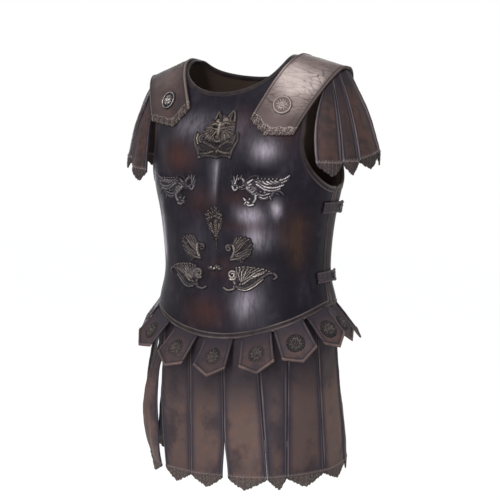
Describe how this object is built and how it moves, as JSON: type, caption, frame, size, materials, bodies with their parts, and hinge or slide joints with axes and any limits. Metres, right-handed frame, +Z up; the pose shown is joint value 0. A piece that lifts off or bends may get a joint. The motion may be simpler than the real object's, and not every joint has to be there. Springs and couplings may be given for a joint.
{
  "type": "cuirass",
  "caption": "Sculpted leather muscle cuirass with applied metal ornaments, shoulder guards with strips, side straps, pointed waist tabs and a long strip skirt.",
  "frame": {"origin": "Centre of the bounding box in plan, at the lowest tips of the skirt strips.", "axes": "+Z up through the neck opening, the wearer faces -Y, the wearer's left is +X."},
  "size_m": [0.5522, 0.3262, 0.7889],
  "materials": {
    "shell_leather": "polished dark brown leather with lighter worn muscles",
    "edge_leather": "rolled dark leather edge",
    "tab_leather": "brown leather with a lighter bound edge",
    "strip_leather": "brown leather, darker at the top and worn at the fringe",
    "guard_leather": "grey-brown creased leather with an embossed fringe",
    "bronze": "antique dark bronze with worn bright high spots"
  },
  "bodies": {
    "shell": {"front_plate": "shell_leather", "front_edge_binding": "edge_leather", "back_plate": "shell_leather", "back_edge_binding": "edge_leather", "beast_head": "bronze", "palmette": "bronze", "winged_beast_left": "bronze", "winged_beast_right": "bronze", "upper_leaf_left": "bronze", "upper_leaf_right": "bronze", "lower_scroll_left": "bronze", "lower_scroll_right": "bronze"},
    "shoulder_guard_left": {"shoulder_guard_left": "guard_leather"},
    "shoulder_guard_right": {"shoulder_guard_right": "guard_leather"},
    "side_strap_upper_left": {"side_strap_upper_left": "tab_leather"},
    "side_strap_lower_left": {"side_strap_lower_left": "tab_leather"},
    "side_strap_upper_right": {"side_strap_upper_right": "tab_leather"},
    "side_strap_lower_right": {"side_strap_lower_right": "tab_leather"},
    "arm_strip_1_left": {"arm_strip_1_left": "strip_leather"},
    "arm_strip_1_right": {"arm_strip_1_right": "strip_leather"},
    "arm_strip_2_left": {"arm_strip_2_left": "strip_leather"},
    "arm_strip_2_right": {"arm_strip_2_right": "strip_leather"},
    "arm_strip_3_left": {"arm_strip_3_left": "strip_leather"},
    "arm_strip_3_right": {"arm_strip_3_right": "strip_leather"},
    "arm_strip_4_left": {"arm_strip_4_left": "strip_leather"},
    "arm_strip_4_right": {"arm_strip_4_right": "strip_leather"},
    "arm_strip_5_left": {"arm_strip_5_left": "strip_leather"},
    "arm_strip_5_right": {"arm_strip_5_right": "strip_leather"},
    "waist_tab_1": {"waist_tab_1": "tab_leather"},
    "skirt_strip_1": {"skirt_strip_1": "strip_leather"},
    "waist_tab_2": {"waist_tab_2": "tab_leather"},
    "skirt_strip_2": {"skirt_strip_2": "strip_leather"},
    "waist_tab_16": {"waist_tab_16": "tab_leather"},
    "skirt_strip_16": {"skirt_strip_16": "strip_leather"},
    "waist_tab_3": {"waist_tab_3": "tab_leather"},
    "skirt_strip_3": {"skirt_strip_3": "strip_leather"},
    "waist_tab_15": {"waist_tab_15": "tab_leather"},
    "skirt_strip_15": {"skirt_strip_15": "strip_leather"},
    "waist_tab_4": {"waist_tab_4": "tab_leather"},
    "skirt_strip_4": {"skirt_strip_4": "strip_leather"},
    "waist_tab_14": {"waist_tab_14": "tab_leather"},
    "skirt_strip_14": {"skirt_strip_14": "strip_leather"},
    "waist_tab_5": {"waist_tab_5": "tab_leather"},
    "skirt_strip_5": {"skirt_strip_5": "strip_leather"},
    "waist_tab_13": {"waist_tab_13": "tab_leather"},
    "skirt_strip_13": {"skirt_strip_13": "strip_leather"},
    "waist_tab_6": {"waist_tab_6": "tab_leather"},
    "skirt_strip_6": {"skirt_strip_6": "strip_leather"},
    "waist_tab_12": {"waist_tab_12": "tab_leather"},
    "skirt_strip_12": {"skirt_strip_12": "strip_leather"},
    "waist_tab_7": {"waist_tab_7": "tab_leather"},
    "skirt_strip_7": {"skirt_strip_7": "strip_leather"},
    "waist_tab_11": {"waist_tab_11": "tab_leather"},
    "skirt_strip_11": {"skirt_strip_11": "strip_leather"},
    "waist_tab_8": {"waist_tab_8": "tab_leather"},
    "skirt_strip_8": {"skirt_strip_8": "strip_leather"},
    "waist_tab_10": {"waist_tab_10": "tab_leather"},
    "skirt_strip_10": {"skirt_strip_10": "strip_leather"},
    "waist_tab_9": {"waist_tab_9": "tab_leather"},
    "skirt_strip_9": {"skirt_strip_9": "strip_leather"}
  },
  "joints": [
    {"name": "shoulder_guard_left_hinge", "type": "hinge", "parent": "shell", "child": "shoulder_guard_left", "pos_m": [0.16003, 0.05719, 0.7554], "axis": [-0.9422, 0.1339, 0.3071], "range_deg": [0, 100]},
    {"name": "shoulder_guard_right_hinge", "type": "hinge", "parent": "shell", "child": "shoulder_guard_right", "pos_m": [-0.16003, 0.05719, 0.7554], "axis": [-0.9422, -0.1339, -0.3071], "range_deg": [0, 100]},
    {"name": "side_strap_upper_left_hinge", "type": "hinge", "parent": "shell", "child": "side_strap_upper_left", "pos_m": [0.17991, -0.02223, 0.5074], "axis": [0, 0, -1], "range_deg": [0, 70]},
    {"name": "side_strap_lower_left_hinge", "type": "hinge", "parent": "shell", "child": "side_strap_lower_left", "pos_m": [0.1684, -0.0223, 0.3785], "axis": [0, 0, -1], "range_deg": [0, 70]},
    {"name": "side_strap_upper_right_hinge", "type": "hinge", "parent": "shell", "child": "side_strap_upper_right", "pos_m": [-0.17991, -0.02223, 0.5074], "axis": [0, 0, 1], "range_deg": [0, 70]},
    {"name": "side_strap_lower_right_hinge", "type": "hinge", "parent": "shell", "child": "side_strap_lower_right", "pos_m": [-0.1684, -0.0223, 0.3785], "axis": [0, 0, 1], "range_deg": [0, 70]},
    {"name": "arm_strip_1_left_hinge", "type": "hinge", "parent": "shoulder_guard_left", "child": "arm_strip_1_left", "pos_m": [0.19048, -0.02856, 0.73203], "axis": [-0.4068, -0.5525, -0.7275], "range_deg": [0, 10]},
    {"name": "arm_strip_1_right_hinge", "type": "hinge", "parent": "shoulder_guard_right", "child": "arm_strip_1_right", "pos_m": [-0.19048, -0.02856, 0.73203], "axis": [-0.4068, 0.5525, 0.7275], "range_deg": [0, 10]},
    {"name": "arm_strip_2_left_hinge", "type": "hinge", "parent": "shoulder_guard_left", "child": "arm_strip_2_left", "pos_m": [0.19772, -0.01713, 0.74463], "axis": [-0.3738, -0.6798, -0.631], "range_deg": [0, 20]},
    {"name": "arm_strip_2_right_hinge", "type": "hinge", "parent": "shoulder_guard_right", "child": "arm_strip_2_right", "pos_m": [-0.19772, -0.01713, 0.74463], "axis": [-0.3738, 0.6798, 0.631], "range_deg": [0, 20]},
    {"name": "arm_strip_3_left_hinge", "type": "hinge", "parent": "shoulder_guard_left", "child": "arm_strip_3_left", "pos_m": [0.203, -0.00239, 0.75336], "axis": [-0.1989, -0.9275, -0.3165], "range_deg": [0, 25]},
    {"name": "arm_strip_3_right_hinge", "type": "hinge", "parent": "shoulder_guard_right", "child": "arm_strip_3_right", "pos_m": [-0.203, -0.00239, 0.75336], "axis": [-0.1989, 0.9275, 0.3165], "range_deg": [0, 25]},
    {"name": "arm_strip_4_left_hinge", "type": "hinge", "parent": "shoulder_guard_left", "child": "arm_strip_4_left", "pos_m": [0.20471, 0.01532, 0.75601], "axis": [0.0101, -0.9996, 0.0245], "range_deg": [0, 25]},
    {"name": "arm_strip_4_right_hinge", "type": "hinge", "parent": "shoulder_guard_right", "child": "arm_strip_4_right", "pos_m": [-0.20471, 0.01532, 0.75601], "axis": [0.0101, 0.9996, -0.0245], "range_deg": [0, 25]},
    {"name": "arm_strip_5_left_hinge", "type": "hinge", "parent": "shoulder_guard_left", "child": "arm_strip_5_left", "pos_m": [0.20272, 0.03224, 0.75112], "axis": [0.2068, -0.8353, 0.5093], "range_deg": [0, 25]},
    {"name": "arm_strip_5_right_hinge", "type": "hinge", "parent": "shoulder_guard_right", "child": "arm_strip_5_right", "pos_m": [-0.20272, 0.03224, 0.75112], "axis": [0.2068, 0.8353, -0.5093], "range_deg": [0, 25]},
    {"name": "waist_tab_1_hinge", "type": "hinge", "parent": "shell", "child": "waist_tab_1", "pos_m": [0, -0.11577, 0.26462], "axis": [-1, 0, 0], "range_deg": [0, 45]},
    {"name": "skirt_strip_1_hinge", "type": "hinge", "parent": "shell", "child": "skirt_strip_1", "pos_m": [0, -0.10902, 0.26462], "axis": [-1, 0, 0], "range_deg": [0, 18]},
    {"name": "waist_tab_2_hinge", "type": "hinge", "parent": "shell", "child": "waist_tab_2", "pos_m": [0.07464, -0.10811, 0.27329], "axis": [-0.9505, -0.2225, -0.2168], "range_deg": [0, 45]},
    {"name": "skirt_strip_2_hinge", "type": "hinge", "parent": "shell", "child": "skirt_strip_2", "pos_m": [0.0731, -0.10148, 0.27322], "axis": [-0.9505, -0.2225, -0.2168], "range_deg": [0, 18]},
    {"name": "waist_tab_16_hinge", "type": "hinge", "parent": "shell", "child": "waist_tab_16", "pos_m": [-0.07464, -0.10811, 0.27329], "axis": [-0.9505, 0.2225, 0.2168], "range_deg": [0, 45]},
    {"name": "skirt_strip_16_hinge", "type": "hinge", "parent": "shell", "child": "skirt_strip_16", "pos_m": [-0.0731, -0.10148, 0.27322], "axis": [-0.9505, 0.2225, 0.2168], "range_deg": [0, 18]},
    {"name": "waist_tab_3_hinge", "type": "hinge", "parent": "shell", "child": "waist_tab_3", "pos_m": [0.13813, -0.08006, 0.29407], "axis": [-0.7669, -0.5428, -0.3425], "range_deg": [0, 45]},
    {"name": "skirt_strip_3_hinge", "type": "hinge", "parent": "shell", "child": "skirt_strip_3", "pos_m": [0.13411, -0.07404, 0.29352], "axis": [-0.7669, -0.5428, -0.3425], "range_deg": [0, 18]},
    {"name": "waist_tab_15_hinge", "type": "hinge", "parent": "shell", "child": "waist_tab_15", "pos_m": [-0.13813, -0.08006, 0.29407], "axis": [-0.7669, 0.5428, 0.3425], "range_deg": [0, 45]},
    {"name": "skirt_strip_15_hinge", "type": "hinge", "parent": "shell", "child": "skirt_strip_15", "pos_m": [-0.13411, -0.07404, 0.29352], "axis": [-0.7669, 0.5428, 0.3425], "range_deg": [0, 18]},
    {"name": "waist_tab_4_hinge", "type": "hinge", "parent": "shell", "child": "waist_tab_4", "pos_m": [0.17275, -0.03714, 0.31449], "axis": [-0.3809, -0.8706, -0.3113], "range_deg": [0, 45]},
    {"name": "skirt_strip_4_hinge", "type": "hinge", "parent": "shell", "child": "skirt_strip_4", "pos_m": [0.16525, -0.03317, 0.31255], "axis": [-0.3809, -0.8706, -0.3113], "range_deg": [0, 18]},
    {"name": "waist_tab_14_hinge", "type": "hinge", "parent": "shell", "child": "waist_tab_14", "pos_m": [-0.17275, -0.03714, 0.31449], "axis": [-0.3809, 0.8706, 0.3113], "range_deg": [0, 45]},
    {"name": "skirt_strip_14_hinge", "type": "hinge", "parent": "shell", "child": "skirt_strip_14", "pos_m": [-0.16525, -0.03317, 0.31255], "axis": [-0.3809, 0.8706, 0.3113], "range_deg": [0, 18]},
    {"name": "waist_tab_5_hinge", "type": "hinge", "parent": "shell", "child": "waist_tab_5", "pos_m": [0.18019, 0.013, 0.32236], "axis": [0, -1, -0.0002], "range_deg": [0, 45]},
    {"name": "skirt_strip_5_hinge", "type": "hinge", "parent": "shell", "child": "skirt_strip_5", "pos_m": [0.17162, 0.013, 0.32069], "axis": [0, -1, -0.0002], "range_deg": [0, 18]},
    {"name": "waist_tab_13_hinge", "type": "hinge", "parent": "shell", "child": "waist_tab_13", "pos_m": [-0.18019, 0.013, 0.32236], "axis": [0, 1, 0.0002], "range_deg": [0, 45]},
    {"name": "skirt_strip_13_hinge", "type": "hinge", "parent": "shell", "child": "skirt_strip_13", "pos_m": [-0.17162, 0.013, 0.32069], "axis": [0, 1, 0.0002], "range_deg": [0, 18]},
    {"name": "waist_tab_6_hinge", "type": "hinge", "parent": "shell", "child": "waist_tab_6", "pos_m": [0.17206, 0.05489, 0.31782], "axis": [0.4862, -0.8448, 0.2234], "range_deg": [0, 45]},
    {"name": "skirt_strip_6_hinge", "type": "hinge", "parent": "shell", "child": "skirt_strip_6", "pos_m": [0.16523, 0.05056, 0.31628], "axis": [0.4862, -0.8448, 0.2234], "range_deg": [0, 18]},
    {"name": "waist_tab_12_hinge", "type": "hinge", "parent": "shell", "child": "waist_tab_12", "pos_m": [-0.17206, 0.05489, 0.31782], "axis": [0.4862, 0.8448, -0.2234], "range_deg": [0, 45]},
    {"name": "skirt_strip_12_hinge", "type": "hinge", "parent": "shell", "child": "skirt_strip_12", "pos_m": [-0.16523, 0.05056, 0.31628], "axis": [0.4862, 0.8448, -0.2234], "range_deg": [0, 18]},
    {"name": "waist_tab_7_hinge", "type": "hinge", "parent": "shell", "child": "waist_tab_7", "pos_m": [0.13619, 0.08887, 0.3058], "axis": [0.8551, -0.4681, 0.2227], "range_deg": [0, 45]},
    {"name": "skirt_strip_7_hinge", "type": "hinge", "parent": "shell", "child": "skirt_strip_7", "pos_m": [0.13282, 0.0824, 0.30517], "axis": [0.8551, -0.4681, 0.2227], "range_deg": [0, 18]},
    {"name": "waist_tab_11_hinge", "type": "hinge", "parent": "shell", "child": "waist_tab_11", "pos_m": [-0.13619, 0.08887, 0.3058], "axis": [0.8551, 0.4681, -0.2227], "range_deg": [0, 45]},
    {"name": "skirt_strip_11_hinge", "type": "hinge", "parent": "shell", "child": "skirt_strip_11", "pos_m": [-0.13282, 0.0824, 0.30517], "axis": [0.8551, 0.4681, -0.2227], "range_deg": [0, 18]},
    {"name": "waist_tab_8_hinge", "type": "hinge", "parent": "shell", "child": "waist_tab_8", "pos_m": [0.07297, 0.11015, 0.29366], "axis": [0.976, -0.1735, 0.1317], "range_deg": [0, 45]},
    {"name": "skirt_strip_8_hinge", "type": "hinge", "parent": "shell", "child": "skirt_strip_8", "pos_m": [0.07179, 0.10335, 0.29349], "axis": [0.976, -0.1735, 0.1317], "range_deg": [0, 18]},
    {"name": "waist_tab_10_hinge", "type": "hinge", "parent": "shell", "child": "waist_tab_10", "pos_m": [-0.07297, 0.11015, 0.29366], "axis": [0.976, 0.1735, -0.1317], "range_deg": [0, 45]},
    {"name": "skirt_strip_10_hinge", "type": "hinge", "parent": "shell", "child": "skirt_strip_10", "pos_m": [-0.07179, 0.10335, 0.29349], "axis": [0.976, 0.1735, -0.1317], "range_deg": [0, 18]},
    {"name": "waist_tab_9_hinge", "type": "hinge", "parent": "shell", "child": "waist_tab_9", "pos_m": [0, 0.11577, 0.28862], "axis": [1, 0, 0], "range_deg": [0, 45]},
    {"name": "skirt_strip_9_hinge", "type": "hinge", "parent": "shell", "child": "skirt_strip_9", "pos_m": [0, 0.10902, 0.28862], "axis": [1, 0, 0], "range_deg": [0, 18]}
  ]
}
